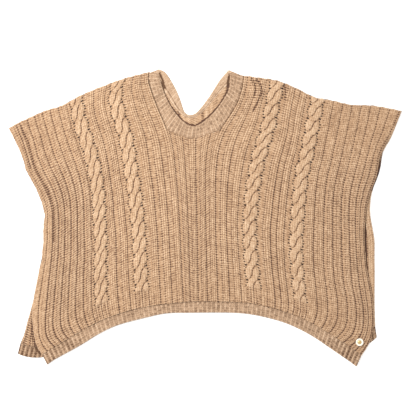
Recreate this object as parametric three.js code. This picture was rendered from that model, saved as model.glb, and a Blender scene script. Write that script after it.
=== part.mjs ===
import * as THREE from "three";

// Knitted poncho sweater laid flat, front up: two rib-and-cable panels joined along the shoulders,
// a rib neckband and a rib hem band on each panel, open sides, and one button at a lower corner.
// Millimetres. X runs across the chest, Y from hem to shoulder, Z up from the surface it lies on.

const GAP = 0.3; // between one piece and the next
const SEAM_GAP = 1.0; // across a linked seam, in plan
const BACK_THICK = 3.0; // back panel, flat where it rests
const BAND_BASE = 2.0; // back bands below their ribs
const BAND_RIB = 1.0; // rise of the back bands' ribs
const FRONT_Z = BACK_THICK + GAP; // inner side of the front panel where it lies flat
const WALL = 2.4; // front wall in the gutters
const RIM = 1.3; // front wall at a free edge
const RIB_RISE = 2.0; // knit-three rib above its purl gutter
const HEM_RISE = 1.2; // one-by-one rib above its gutter
const CABLE_RISE = 4.4; // crossed strand above the gutter
const CABLE_HALF = 3.2; // half width of a cable, in stitches
const CABLE_STEP = 39; // from one crossing to the next
const CABLE_END = 0.925; // share of the panel's length where the crossings stop
const BAND_PITCH = 11.6; // one knit and one purl of the bands
const LAST = 177; // stitches across a panel
const RIB = 5; // stitches in one rib, three knit and two purl
const NECK = { left: 79, right: 98, start: 0.26 }; // stitches that end at the neck, and where
const ROWS = 13; // points down one rib
const BUTTON = { x: 400, y: -321, z: 9.4, r: 10, thick: 3.2 };

// Lines that run down the front panel, each along one stitch, from shoulder to hem seam.
const LINES_LEFT = [
  { name: "left edge", stitch: 0, path: [
    [-511, 234], [-490, 194], [-472, 152], [-458, 110], [-437, 73], [-418, 22], [-417, 1],
    [-422, -25], [-420, -56], [-424, -87], [-438, -165], [-452, -238], [-447, -303],
    [-436, -339], [-424, -354]] },
  { name: "left fold", stitch: 10, path: [
    [-479, 252], [-471, 225], [-460, 199], [-446, 143], [-432, 113], [-409, 73], [-395, 32],
    [-393, -8], [-394, -82], [-404, -173], [-411, -251], [-412, -303], [-404, -342]] },
  { name: "cable 1", stitch: 44, path: [
    [-337, 315], [-332, 274], [-325, 244], [-311, 207], [-298, 165], [-286, 114], [-281, 79],
    [-277, 32], [-277, -14], [-272, -58], [-274, -105], [-274, -152], [-273, -199],
    [-282, -269]] },
  { name: "cable 2", stitch: 62, path: [
    [-225, 359], [-235, 321], [-230, 290], [-221, 255], [-209, 220], [-200, 174], [-193, 116],
    [-187, 87], [-182, 51], [-177, 1], [-172, -48], [-170, -100], [-168, -150], [-165, -186],
    [-162, -231]] },
  { name: "left of neck", stitch: 79, path: [
    [-148, 380], [-150, 360], [-140, 329], [-130, 300], [-116, 268], [-100, 230], [-90, 191],
    [-82, 126], [-74, 35], [-68, -82], [-61, -218]] },
];
const LINES_UNDER = [
  { name: "under neck left", stitch: 79, path: [
    [-100, 230], [-90, 191], [-82, 126], [-74, 35], [-68, -82], [-61, -218]] },
  { name: "centre", stitch: 88.5, path: [
    [-35, 208], [-34, 165], [-32, 100], [-29, 9], [-27, -82], [-25, -216]] },
  { name: "under neck right", stitch: 98, path: [
    [38, 230], [22, 188], [14, 126], [14, 35], [17, -82], [21, -216]] },
];
const LINES_RIGHT = [
  { name: "right of neck", stitch: 98, path: [
    [100, 367], [96, 334], [83, 298], [62, 264], [38, 230], [22, 188], [14, 126], [14, 35],
    [17, -82], [21, -216]] },
  { name: "cable 3", stitch: 115, path: [
    [187, 358], [183, 339], [176, 310], [169, 275], [164, 239], [151, 202], [140, 166],
    [133, 139], [129, 114], [122, 79], [118, 32], [113, -14], [115, -58], [118, -105],
    [122, -142], [125, -181], [127, -222]] },
  { name: "cable 4", stitch: 133, path: [
    [293, 315], [287, 285], [280, 248], [273, 212], [262, 157], [252, 125], [244, 60],
    [239, -6], [235, -73], [239, -139], [244, -188], [251, -222], [263, -263]] },
  { name: "right fold", stitch: 162, path: [
    [435, 294], [425, 243], [413, 196], [398, 136], [381, 74], [376, 17], [379, -82],
    [385, -173], [389, -251], [385, -303], [376, -334]] },
  { name: "right edge", stitch: 177, path: [
    [510, 279], [480, 210], [468, 195], [461, 174], [454, 147], [443, 103], [430, 74],
    [424, 51], [418, 32], [416, 5], [413, -23], [413, -55], [415, -89], [419, -135],
    [427, -168], [433, -198], [436, -232], [438, -272], [433, -311], [423, -338],
    [410, -358]] },
];
const CABLES = [44, 62, 115, 133]; // the stitch each cable is centred on

// Free edges of the bands and of the back panel.
const HEM_EDGE = [
  [-411, -379], [-394, -364], [-326, -329], [-272, -294], [-225, -274], [-165, -259],
  [-103, -246], [-40, -243], [43, -243], [105, -246], [168, -260], [217, -272], [277, -302],
  [334, -338], [380, -371], [395, -384]];
const NECK_EDGE = [
  [-124, 376], [-116, 355], [-110, 335], [-102, 314], [-90, 291], [-75, 270], [-60, 253],
  [-44, 242], [-28, 238], [-16, 244], [0, 255], [16, 269], [32, 288], [48, 311], [58, 329],
  [63, 345], [64, 358], [64, 372]];
const BACK_NECK_EDGE = [
  [-121, 388], [-105, 382], [-94, 366], [-82, 346], [-72, 326], [-63, 302], [-56, 277],
  [-47, 270], [-37, 269], [-27, 272], [-16, 283], [-3, 299], [10, 317], [22, 336], [35, 354],
  [48, 369], [60, 381]];
const BACK_NECK_SEAM = [
  [-144, 380], [-126, 353], [-112, 338], [-96, 314], [-82, 292], [-68, 275], [-54, 266],
  [-37, 262], [-20, 267], [-4, 280], [14, 298], [37, 325], [58, 348], [77, 361], [98, 367]];
const BACK_HEM_EDGE = [
  [-484, -353], [-474, -356], [-455, -362], [-421, -362], [-378, -343], [-326, -320],
  [-272, -285], [-225, -266], [-165, -251], [-103, -239], [-40, -237], [43, -237],
  [105, -239], [168, -253], [217, -265], [277, -295], [334, -332], [389, -342],
  [430, -323], [445, -309]];
const BACK_HEM_SEAM = [
  [-478, -325], [-456, -334], [-422, -334], [-383, -316], [-337, -294], [-282, -260],
  [-230, -240], [-169, -225], [-104, -213], [-40, -210], [43, -210], [108, -213],
  [173, -227], [222, -239], [287, -270], [335, -298], [370, -306], [405, -299], [441, -281]];
const BACK_LEFT = [
  [-509, 234], [-488, 194], [-470, 152], [-456, 110], [-435, 73], [-416, 22], [-415, 1],
  [-420, -25], [-418, -56], [-422, -87], [-436, -165], [-452, -238], [-462, -271],
  [-468, -302], [-478, -324.5]];
const BACK_RIGHT = [
  [441, -280.5], [439, -212], [440, -139], [439, -99], [440, -59], [435, -29], [428, 5],
  [427, 35], [433, 74], [449, 110], [459, 148], [468, 180], [482, 208], [508, 278]];

// Soft lifts of the cloth off the back panel: centre, reach and turn in plan, and height.
const LIFTS = [
  { name: "right shoulder fold", x: 138, y: 318, along: 52, across: 22, turn: 100, rise: 6 },
  { name: "right shoulder puff", x: 225, y: 300, along: 60, across: 40, turn: 100, rise: 4 },
  { name: "left of neckband", x: -178, y: 318, along: 60, across: 26, turn: 78, rise: 4 },
  { name: "left sleeve", x: -432, y: 150, along: 90, across: 26, turn: -62, rise: 5 },
  { name: "left pinch", x: -400, y: 20, along: 80, across: 24, turn: 85, rise: 4 },
  { name: "right sleeve", x: 440, y: 170, along: 80, across: 30, turn: 68, rise: 5 },
  { name: "right pinch", x: 398, y: 0, along: 90, across: 24, turn: 88, rise: 3.5 },
  { name: "left corner", x: -405, y: -290, along: 50, across: 36, turn: 60, rise: 3 },
  { name: "right corner", x: 392, y: -300, along: 40, across: 30, turn: 120, rise: 2 },
  { name: "chest", x: -20, y: 60, along: 130, across: 60, turn: 90, rise: 2.5 },
];

function lift(x, y) {
  let z = FRONT_Z;
  for (const f of LIFTS) {
    const a = THREE.MathUtils.degToRad(f.turn);
    const dx = x - f.x;
    const dy = y - f.y;
    const u = (dx * Math.cos(a) + dy * Math.sin(a)) / f.along;
    const w = (dy * Math.cos(a) - dx * Math.sin(a)) / f.across;
    z += f.rise * Math.exp(-u * u - w * w);
  }
  return z;
}

// The point at share t of a polyline's length.
function along(path, t) {
  const run = [0];
  for (let i = 1; i < path.length; i++) {
    const step = Math.hypot(path[i][0] - path[i - 1][0], path[i][1] - path[i - 1][1]);
    run.push(run[i - 1] + step);
  }
  const d = THREE.MathUtils.clamp(t, 0, 1) * run[run.length - 1];
  let k = 1;
  while (k < path.length - 1 && run[k] < d) k++;
  const f = (d - run[k - 1]) / (run[k] - run[k - 1]);
  return [0, 1].map((c) => path[k - 1][c] + f * (path[k][c] - path[k - 1][c]));
}

function lengthOf(path) {
  let sum = 0;
  for (let i = 1; i < path.length; i++)
    sum += Math.hypot(path[i][0] - path[i - 1][0], path[i][1] - path[i - 1][1]);
  return sum;
}

// A smooth value at x through a table of [x, value] pairs.
function smooth(xs, ys, x) {
  let k = 1;
  while (k < xs.length - 1 && xs[k] < x) k++;
  const h = xs[k] - xs[k - 1];
  const slope = (ys[k] - ys[k - 1]) / h;
  const before = k > 1 ? (ys[k] - ys[k - 2]) / (xs[k] - xs[k - 2]) : slope;
  const after = k < xs.length - 1 ? (ys[k + 1] - ys[k - 1]) / (xs[k + 1] - xs[k - 1]) : slope;
  const t = (x - xs[k - 1]) / h;
  const t2 = t * t;
  const t3 = t2 * t;
  return (2 * t3 - 3 * t2 + 1) * ys[k - 1] + (t3 - 2 * t2 + t) * h * before
    + (3 * t2 - 2 * t3) * ys[k] + (t3 - t2) * h * after;
}

// Where stitch s at share v of the length lies in plan on the front panel.
function cloth(s, v) {
  const under = s > NECK.left && s < NECK.right;
  const lines = under ? LINES_UNDER : s <= NECK.left ? LINES_LEFT : LINES_RIGHT;
  const t = under ? (v - NECK.start) / (1 - NECK.start) : v;
  const at = lines.map((line) => along(line.path, t));
  const xs = lines.map((line) => line.stitch);
  return [0, 1].map((c) => smooth(xs, at.map((p) => p[c]), s));
}

// Height of a two-strand crossing: u from -1 to 1 across, turn counts crossings from the hem up.
function crossing(u, turn) {
  const f = turn - Math.floor(turn);
  const shift = f * f * (3 - 2 * f);
  const over = 1 - ((u + 0.5 - shift) / 0.62) ** 2;
  const under = 1 - ((u - 0.5 + shift) / 0.62) ** 2;
  const low = Math.max(0, under) ** 0.5 * (1 - 0.55 * Math.sin(Math.PI * f));
  return Math.max(Math.max(0, over) ** 0.5, low, 0.12);
}

// Triangles between two neighbouring rows of points, each row with its own spacing.
function zip(tris, a, b, flip) {
  let i = a.key.findIndex((k) => k >= b.key[0] - 1e-9);
  let j = b.key.findIndex((k) => k >= a.key[0] - 1e-9);
  while (i < a.key.length - 1 || j < b.key.length - 1) {
    const nextA = i < a.key.length - 1 ? a.key[i + 1] : Infinity;
    const nextB = j < b.key.length - 1 ? b.key[j + 1] : Infinity;
    const tri = nextA <= nextB ? [a.id[i], a.id[i + 1], b.id[j]] : [a.id[i], b.id[j + 1], b.id[j]];
    if (nextA <= nextB) i++;
    else j++;
    tris.push(flip ? [tri[0], tri[2], tri[1]] : tri);
  }
}

// The rim of a set of columns, once round, with the path length walked in stitches and shares.
function rimOf(cols) {
  const ring = [];
  const add = (c, k) => ring.push({ id: c.id[k], s: c.s, v: c.key[k] });
  const last = cols.length - 1;
  for (let k = 0; k < cols[0].key.length; k++) add(cols[0], k);
  for (let c = 1; c <= last; c++) add(cols[c], cols[c].key.length - 1);
  for (let k = cols[last].key.length - 2; k >= 0; k--) add(cols[last], k);
  for (let c = last - 1; c > 0; c--) {
    const right = cols[c + 1];
    const here = cols[c];
    if (here.key[0] > right.key[0] + 1e-9) {
      for (let k = 1; right.key[k] < here.key[0] + 1e-9; k++) add(right, k);
    }
    if (here.key[0] < right.key[0] - 1e-9) {
      let k = here.key.findIndex((v) => v > right.key[0] - 1e-9);
      for (; k > 0; k--) add(here, k);
    }
    add(here, 0);
  }
  ring.push(ring[0]);
  let q = 0;
  const key = ring.map((p, n) => {
    if (n) {
      const back = n === ring.length - 1 ? { s: cols[0].s, v: cols[0].key[0] } : p;
      q += Math.abs(back.s - ring[n - 1].s) + 60 * Math.abs(back.v - ring[n - 1].v);
    }
    return q;
  });
  return { key, id: ring.map((p) => p.id) };
}

// One closed wall from outer columns and inner columns of points.
function wall(name, colour, outer, inner) {
  const points = [];
  const tris = [];
  for (const side of [outer, inner])
    for (const col of side) {
      col.id = col.point.map((p) => points.push(p) - 1);
    }
  for (let c = 1; c < outer.length; c++) zip(tris, outer[c - 1], outer[c], false);
  for (let c = 1; c < inner.length; c++) zip(tris, inner[c - 1], inner[c], true);
  zip(tris, rimOf(inner), rimOf(outer), false);
  return closed(name, colour, points, tris);
}

function closed(name, colour, points, tris) {
  const geometry = new THREE.BufferGeometry();
  geometry.setAttribute("position", new THREE.Float32BufferAttribute(points.flat(), 3));
  geometry.setIndex(tris.flat());
  geometry.computeVertexNormals();
  const material = new THREE.MeshStandardMaterial({ color: colour, roughness: 0.9 });
  const mesh = new THREE.Mesh(geometry, material);
  mesh.name = name;
  return mesh;
}

// Shares of the length for a column with n steps, with a short first step at a free top edge.
function shares(s, n) {
  const under = s > NECK.left && s < NECK.right;
  const from = under ? NECK.start : 0;
  const list = [from, from + 0.012];
  const steps = under ? Math.ceil(n * (1 - NECK.start)) : n;
  for (let i = 1; i <= steps; i++) list.push(from + ((1 - from) * i) / steps);
  if (!under && (s === NECK.left || s === NECK.right)) list.push(NECK.start);
  return [...new Set(list)].sort((a, b) => a - b);
}

// Stitches that get a column: two on each rib's crown, one in each gutter, five over each cable.
function ribColumns() {
  const list = [{ s: 0, rise: 0, rim: true }];
  const spans = [[0, 40], [48, 58], [66, 111], [119, 129], [137, LAST]];
  for (const [a, b] of spans)
    for (let s = a; s + RIB <= b + 0.01; s += RIB) {
      if (s > 0) list.push({ s, rise: 0 });
      list.push({ s: s + 1.2, rise: 1 });
      list.push({ s: s + 3.8, rise: 1 });
    }
  for (const s of [40, 58, 111, 129]) list.push({ s, rise: 0 });
  list.push({ s: NECK.left, rise: 0.9 });
  list.push({ s: NECK.right, rise: 0.9 });
  for (const s of CABLES)
    for (const u of [-1.1, -0.8, -0.4, 0, 0.4, 0.8, 1.1])
      list.push({ s: s + u * CABLE_HALF, cable: s, u });
  list.push({ s: LAST, rise: 0, rim: true });
  return list.sort((a, b) => a.s - b.s);
}

function frontPanel() {
  const outer = ribColumns().map((col) => {
    const line = [...LINES_LEFT, ...LINES_RIGHT].find((l) => l.stitch === col.cable);
    const reach = line ? lengthOf(line.path) : 0;
    const key = shares(col.s, line && Math.abs(col.u) < 1 ? Math.round(reach / CABLE_STEP * 4) : ROWS);
    const point = key.map((v, k) => {
      const [x, y] = cloth(col.s, v);
      let rise = RIB_RISE * (col.rise || 0);
      if (line) {
        const turn = ((CABLE_END - v) * reach) / CABLE_STEP;
        const shape = v > CABLE_END ? 0.35 : crossing(col.u, turn);
        rise = Math.abs(col.u) > 1 ? 0 : CABLE_RISE * shape;
      }
      const thick = col.rim || k === 0 ? RIM : WALL + rise;
      return [x, y, lift(x, y) + thick];
    });
    return { s: col.s, key, point };
  });
  const gutters = ribColumns().filter((c) => !c.rise && !c.cable).map((c) => c.s);
  const stitches = [...gutters, ...CABLES, NECK.left, 88.5, NECK.right].sort((a, b) => a - b);
  const inner = stitches.map((s) => {
    const key = shares(s, s === NECK.left || s === NECK.right ? ROWS : 10);
    const point = key.map((v) => {
      const [x, y] = cloth(s, v);
      return [x, y, lift(x, y)];
    });
    return { s, key, point };
  });
  return wall("panel_front", 0xc9a27a, outer, inner);
}

// A one-by-one rib band between an inner edge and an outer edge, both given as functions of a share.
function band(name, upper, lower, count, level, base, rise) {
  const outer = [];
  for (let i = 0; i <= 2 * count; i++) {
    const f = i / (2 * count);
    const a = upper(f);
    const b = lower(f);
    const crown = i % 2 ? rise : 0;
    const key = [0, 0.1, 0.9, 1];
    const point = key.map((v) => {
      const x = a[0] + v * (b[0] - a[0]);
      const y = a[1] + v * (b[1] - a[1]);
      const low = v === 0 || v === 1 || i === 0 || i === 2 * count;
      return [x, y, level(x, y) + (low ? Math.min(base, RIM + 0.4) : base + crown)];
    });
    outer.push({ s: i, key, point });
  }
  const inner = outer.filter((c, i) => i % 2 === 0).map((c) => {
    const point = [0, 3].map((k) => [c.point[k][0], c.point[k][1], level(...c.point[k])]);
    return { s: c.s, key: [0, 1], point };
  });
  return wall(name, 0xc39b74, outer, inner);
}

// The front panel's neck seam as a run of points, from left shoulder to right shoulder.
function neckSeam() {
  const list = [];
  const side = shares(NECK.left, ROWS).filter((v) => v <= NECK.start);
  for (const v of side) list.push(cloth(NECK.left, v));
  for (let s = NECK.left + 0.5; s < NECK.right; s += 0.5) list.push(cloth(s, NECK.start));
  for (const v of side.reverse()) list.push(cloth(NECK.right, v));
  return list;
}

// Moves a polyline sideways; a positive distance is to the left of its direction.
function offset(path, d) {
  const normal = (a, b) => {
    const n = Math.hypot(b[0] - a[0], b[1] - a[1]);
    return [(a[1] - b[1]) / n, (b[0] - a[0]) / n];
  };
  return path.map((p, i) => {
    const m = normal(path[Math.max(0, i - 1)], path[Math.max(1, i)]);
    const n = i < path.length - 1 ? normal(p, path[i + 1]) : m;
    const share = d / (1 + m[0] * n[0] + m[1] * n[1]);
    return [p[0] + share * (m[0] + n[0]), p[1] + share * (m[1] + n[1])];
  });
}

function hemSeam() {
  const list = [];
  for (let s = 0; s <= LAST; s += 1) list.push(cloth(s, 1));
  return list;
}

// A flat sheet with an eased upper edge, from its outline in plan.
function slab(name, colour, outline, thick, ease) {
  const clean = outline.filter((p, i) => {
    const q = outline[(i + 1) % outline.length];
    return Math.hypot(p[0] - q[0], p[1] - q[1]) > 0.5;
  });
  const contour = clean.map((p) => new THREE.Vector2(p[0], p[1]));
  if (THREE.ShapeUtils.isClockWise(contour)) contour.reverse();
  const n = contour.length;
  const loop = contour.map((p) => [p.x, p.y]);
  const inset = loop.map((p, i) => {
    const a = loop[(i + n - 1) % n];
    const b = loop[(i + 1) % n];
    const u = new THREE.Vector2(p[0] - a[0], p[1] - a[1]).normalize();
    const w = new THREE.Vector2(b[0] - p[0], b[1] - p[1]).normalize();
    const m = u.add(w).normalize();
    return [p[0] - ease * m.y, p[1] + ease * m.x];
  });
  const points = [
    ...loop.map((p) => [p[0], p[1], 0]),
    ...loop.map((p) => [p[0], p[1], thick - ease]),
    ...inset.map((p) => [p[0], p[1], thick]),
  ];
  const tris = [];
  for (const row of [0, n])
    for (let i = 0; i < n; i++) {
      const j = (i + 1) % n;
      tris.push([row + i, row + j, row + n + j], [row + i, row + n + j, row + n + i]);
    }
  const lid = (ring, at, flip) => {
    const cut = THREE.ShapeUtils.triangulateShape(ring.map((p) => new THREE.Vector2(...p)), []);
    for (const [a, b, c] of cut) tris.push(flip ? [a + at, c + at, b + at] : [a + at, b + at, c + at]);
  };
  lid(loop, 0, true);
  lid(inset, 2 * n, false);
  return closed(name, colour, points, tris);
}

function backPanel() {
  const shoulder = (a, b) => {
    const list = [];
    for (let s = a; s <= b; s += 6) list.push(cloth(s, 0));
    return list.map(([x, y]) => [x, y - 1.5]);
  };
  const left = shoulder(6, 75).reverse();
  const right = shoulder(101, 173).reverse();
  const neck = offset(BACK_NECK_SEAM, -SEAM_GAP);
  const hem = offset(BACK_HEM_SEAM, SEAM_GAP);
  const outline = [...left, ...BACK_LEFT, ...hem.slice(1, -1), ...BACK_RIGHT, ...right];
  return slab("panel_back", 0xb9926c, [...outline, ...neck.reverse()], BACK_THICK, 0.8);
}

function lathe(name, colour, profile, x, y, z, sides) {
  const geometry = new THREE.LatheGeometry(profile.map((p) => new THREE.Vector2(p[0], p[1])), sides);
  geometry.rotateX(Math.PI / 2);
  geometry.translate(x, y, z);
  const mesh = new THREE.Mesh(geometry, new THREE.MeshStandardMaterial({ color: colour }));
  mesh.name = name;
  return mesh;
}

const root = new THREE.Group();
const seam = offset(neckSeam(), SEAM_GAP);
const hemTop = offset(hemSeam(), -SEAM_GAP);
const flat = () => 0;
const ribs = (path) => Math.round(lengthOf(path) / BAND_PITCH);
root.add(backPanel());
root.add(band("neckband_back", (f) => along(BACK_NECK_EDGE, f), (f) => along(BACK_NECK_SEAM, f),
  ribs(BACK_NECK_EDGE), flat, BAND_BASE, BAND_RIB));
root.add(band("hem_band_back", (f) => along(BACK_HEM_SEAM, f), (f) => along(BACK_HEM_EDGE, f),
  ribs(BACK_HEM_EDGE), flat, BAND_BASE, BAND_RIB));
root.add(frontPanel());
root.add(band("neckband_front", (f) => along(NECK_EDGE, f), (f) => along(seam, f),
  ribs(seam), lift, WALL, HEM_RISE));
root.add(band("hem_band_front", (f) => along(hemTop, f), (f) => along(HEM_EDGE, f),
  ribs(HEM_EDGE), lift, WALL, HEM_RISE));
const { x, y, z, r, thick } = BUTTON;
root.add(lathe("button", 0xece4d2,
  [[0, 0], [r - 1, 0], [r, 1], [r, thick - 1], [r - 1, thick], [r - 3, thick], [r - 4, thick - 0.7],
    [0, thick - 0.7]], x, y, z, 40));
root.add(lathe("button_boss", 0xc8a24a,
  [[0, 0], [5.2, 0], [5.2, 0.7], [4.4, 1.3], [0, 1.5]], x, y, z + thick - 0.7 + GAP, 32));

root.updateMatrixWorld(true);
const box = new THREE.Box3().setFromObject(root);
root.position.set(-(box.min.x + box.max.x) / 2, -(box.min.y + box.max.y) / 2, -box.min.z);
root.updateMatrixWorld(true);

export default root;
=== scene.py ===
import math

import bpy
import numpy as np
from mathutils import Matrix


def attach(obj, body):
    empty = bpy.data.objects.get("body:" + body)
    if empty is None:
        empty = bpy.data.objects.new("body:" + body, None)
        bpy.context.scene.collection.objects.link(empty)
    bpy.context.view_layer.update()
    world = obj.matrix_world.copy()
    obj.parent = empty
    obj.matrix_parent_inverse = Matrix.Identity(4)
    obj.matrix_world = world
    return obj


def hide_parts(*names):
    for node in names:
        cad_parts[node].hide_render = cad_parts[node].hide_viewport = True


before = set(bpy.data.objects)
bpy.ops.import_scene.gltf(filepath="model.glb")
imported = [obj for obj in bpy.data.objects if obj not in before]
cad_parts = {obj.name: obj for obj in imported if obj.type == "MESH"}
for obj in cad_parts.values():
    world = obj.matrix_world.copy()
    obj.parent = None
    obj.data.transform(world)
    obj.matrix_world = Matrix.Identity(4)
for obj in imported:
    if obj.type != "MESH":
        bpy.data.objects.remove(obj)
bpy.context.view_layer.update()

# Front panel: one piece of chunky wool-blend knit in knit-three purl-two ribs with four six-stitch
# cables, shaped at the neck. It lies on the back panel and is joined to it along the shoulders.
# Its stitches follow lines that run from shoulder to hem, each given in millimetres in plan.
LEFT_LINES = {
    0: [(-511, 234), (-490, 194), (-472, 152), (-458, 110), (-437, 73), (-418, 22), (-417, 1),
        (-422, -25), (-420, -56), (-424, -87), (-438, -165), (-452, -238), (-447, -303),
        (-436, -339), (-424, -354)],
    10: [(-479, 252), (-471, 225), (-460, 199), (-446, 143), (-432, 113), (-409, 73), (-395, 32),
         (-393, -8), (-394, -82), (-404, -173), (-411, -251), (-412, -285), (-408, -305),
         (-400, -319), (-387, -331)],
    44: [(-337, 315), (-332, 274), (-325, 244), (-311, 207), (-298, 165), (-286, 114), (-281, 79),
         (-277, 32), (-277, -14), (-272, -58), (-274, -105), (-274, -152), (-272, -199),
         (-270, -235), (-263, -262)],
    62: [(-225, 359), (-235, 321), (-230, 290), (-221, 255), (-209, 220), (-200, 174), (-193, 116),
         (-187, 87), (-182, 51), (-177, 1), (-172, -48), (-170, -100), (-168, -150), (-165, -186),
         (-162, -231)],
    79: [(-148, 380), (-150, 360), (-140, 329), (-130, 300), (-116, 268), (-100, 230), (-90, 191),
         (-82, 126), (-74, 35), (-68, -82), (-61, -218)],
}
UNDER_LINES = {
    79: [(-100, 230), (-90, 191), (-82, 126), (-74, 35), (-68, -82), (-61, -218)],
    88.5: [(-35, 208), (-34, 165), (-32, 100), (-29, 9), (-27, -82), (-25, -216)],
    98: [(38, 230), (22, 188), (14, 126), (14, 35), (17, -82), (21, -216)],
}
RIGHT_LINES = {
    98: [(100, 367), (96, 334), (83, 298), (62, 264), (38, 230), (22, 188), (14, 126), (14, 35),
         (17, -82), (21, -216)],
    115: [(187, 358), (183, 339), (176, 310), (169, 275), (164, 239), (151, 202), (140, 166),
          (133, 139), (129, 114), (122, 79), (118, 32), (113, -14), (115, -58), (118, -105),
          (122, -142), (125, -181), (127, -222)],
    133: [(293, 315), (287, 285), (280, 248), (273, 212), (262, 157), (252, 125), (244, 60),
          (239, -6), (235, -73), (239, -139), (243, -180), (247, -212), (248, -235), (243, -256)],
    162: [(435, 294), (425, 243), (413, 196), (398, 136), (381, 74), (376, 17), (379, -82),
          (385, -173), (394, -212), (398, -251), (395, -283), (384, -307), (362, -325)],
    177: [(510, 279), (480, 210), (468, 195), (461, 174), (454, 147), (443, 103), (430, 74),
          (424, 51), (418, 32), (416, 5), (413, -23), (413, -55), (415, -89), (419, -135),
          (427, -168), (433, -198), (436, -232), (438, -272), (432, -311), (419, -336),
          (405, -356)],
}
CABLES = (44, 62, 115, 133)  # the stitch each cable is centred on
CABLE_HALF = 5  # stitches from a cable's middle that it and its gutters may take
CABLE_WIDE = 17.0  # mm from its middle to its edge
CABLE_STEP = 39.0  # mm from one crossing to the next, six and a half rows as drawn
CABLE_CLIMB = 23.5  # mm a strand climbs from the cable's middle to its edge
CABLE_END = 0.925  # share of the length where the crossings stop
CABLE_STRAND = 5.0  # mm from the seam between two strands to a strand's full height
ROW = 6.0  # mm, height of one row of stitches; the real one is about 5
HOLE_STEP = 7.8  # mm from one hole beside a cable to the next
LAST = 177  # stitches across
NECK = (79, 98, 0.26)  # stitches that end at the neck seam, and where
SHIFT = (0.5, -2.0)  # mm from the drawing of the lines to the middle of the frame
FRONT_Z = 3.3  # mm, inner side of the front panel where it lies flat
FRONT_WALL = 1.5  # mm of cloth in the gutters
RIB_RISE = 2.0  # mm from gutter to crown
END_BUMP = 1.2  # mm that a rib's end stands out along the shoulders
SIDE_BUMP = 0.9  # mm that the row ends stand out along the sides
SIDE_PITCH = 17  # mm from one bump along the sides to the next
CABLE_RISE = 5.0  # mm from gutter to the top of a crossed strand
NUDGES = [  # dips and swells of the outline: stitch, share of its length, both spreads, x, y in mm
    (36, 0.0, 7, 0.05, 0, -6.5),
    (151, 0.0, 8, 0.05, 0, -6.0),
    (131, 0.0, 5, 0.05, 0, -3.0),
    (98, 0.0, 6, 0.06, 0, 4.0),
    (177, 0.2, 5, 0.045, -5.0, 0),
    (0, 0.19, 4, 0.03, -3.5, 0),
    (0, 0.6, 4, 0.025, 4.0, 0),
]
LIFTS = [  # centre x, y, reach along, reach across, turn in degrees, rise: mm
    (138, 318, 52, 22, 100, 6.0),
    (225, 300, 60, 40, 100, 4.0),
    (-178, 318, 60, 26, 78, 4.0),
    (-432, 150, 90, 26, -62, 5.0),
    (-400, 20, 80, 24, 85, 4.0),
    (440, 170, 80, 30, 68, 5.0),
    (398, 0, 90, 24, 88, 3.5),
    (-405, -290, 50, 36, 60, 3.0),
    (392, -300, 40, 30, 120, 2.0),
    (-20, 60, 130, 60, 90, 2.5),
]
# Creases are cut into the front and also painted dark along their lines: painted shade.
CREASES = [  # points of the line, then how wide it is and how deep: mm
    ([(120, 363), (129, 348), (130, 335), (127, 317)], 1.8, 2.4),
    ([(133, 362), (145, 343), (145, 325), (136, 303), (125, 281)], 1.9, 3.0),
    ([(205, 348), (208, 332), (206, 310)], 1.9, 2.0),
    ([(-146, 381), (-147, 360), (-139, 334)], 1.8, 1.8),
    ([(-491, 240), (-476, 204), (-462, 160), (-453, 129)], 1.6, 1.8),
    ([(-479, 238), (-460, 199), (-446, 143), (-432, 113), (-409, 73), (-395, 32), (-393, -8),
      (-394, -60)], 1.6, 2.4),
]


def along(path, t):
    """Points at shares t of a polyline's length."""
    p = np.asarray(path, float)
    run = np.concatenate([[0], np.cumsum(np.hypot(*np.diff(p, axis=0).T))])
    d = np.clip(t, 0, 1) * run[-1]
    return np.stack([np.interp(d, run, p[:, 0]), np.interp(d, run, p[:, 1])], axis=-1)


def eased(path, times=2):
    """The same polyline with its corners rounded."""
    p = np.asarray(path, float)
    for _ in range(times):
        a, b = p[:-1], p[1:]
        cut = np.stack([0.75 * a + 0.25 * b, 0.25 * a + 0.75 * b], axis=1).reshape(-1, 2)
        p = np.vstack([p[:1], cut[1:-1], p[-1:]])
    return p


def smooth(xs, ys, x):
    """A smooth value at x through the rows ys, given at xs."""
    k = max(1, min(len(xs) - 1, int(np.searchsorted(xs, x))))
    h = xs[k] - xs[k - 1]
    slope = (ys[k] - ys[k - 1]) / h
    before = (ys[k] - ys[k - 2]) / (xs[k] - xs[k - 2]) if k > 1 else slope
    after = (ys[k + 1] - ys[k - 1]) / (xs[k + 1] - xs[k - 1]) if k < len(xs) - 1 else slope
    t = (x - xs[k - 1]) / h
    return ((2 * t**3 - 3 * t**2 + 1) * ys[k - 1] + (t**3 - 2 * t**2 + t) * h * before
            + (3 * t**2 - 2 * t**3) * ys[k] + (t**3 - t**2) * h * after)


EASED = [{s: eased(p) for s, p in lines.items()}
         for lines in (LEFT_LINES, UNDER_LINES, RIGHT_LINES)]


def nudge(s, v):
    """How far the outline's dips and swells move stitch s at shares v of its length."""
    moves = np.zeros((len(v), 2))
    for stitch, share, wide, long, dx, dy in NUDGES:
        near = math.exp(-((s - stitch) / wide) ** 2) * np.exp(-((v - share) / long) ** 2)
        moves += near[:, None] * [dx, dy]
    return moves


def cloth(s, v):
    """Plan points, in mm, of stitch s at shares v of the length."""
    under = NECK[0] < s < NECK[1]
    lines = EASED[1] if under else EASED[0] if s <= NECK[0] else EASED[2]
    t = (v - NECK[2]) / (1 - NECK[2]) if under else v
    xs = list(lines)
    return smooth(xs, np.array([along(lines[k], t) for k in xs]), s) + np.array(SHIFT) + nudge(s, v)


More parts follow.
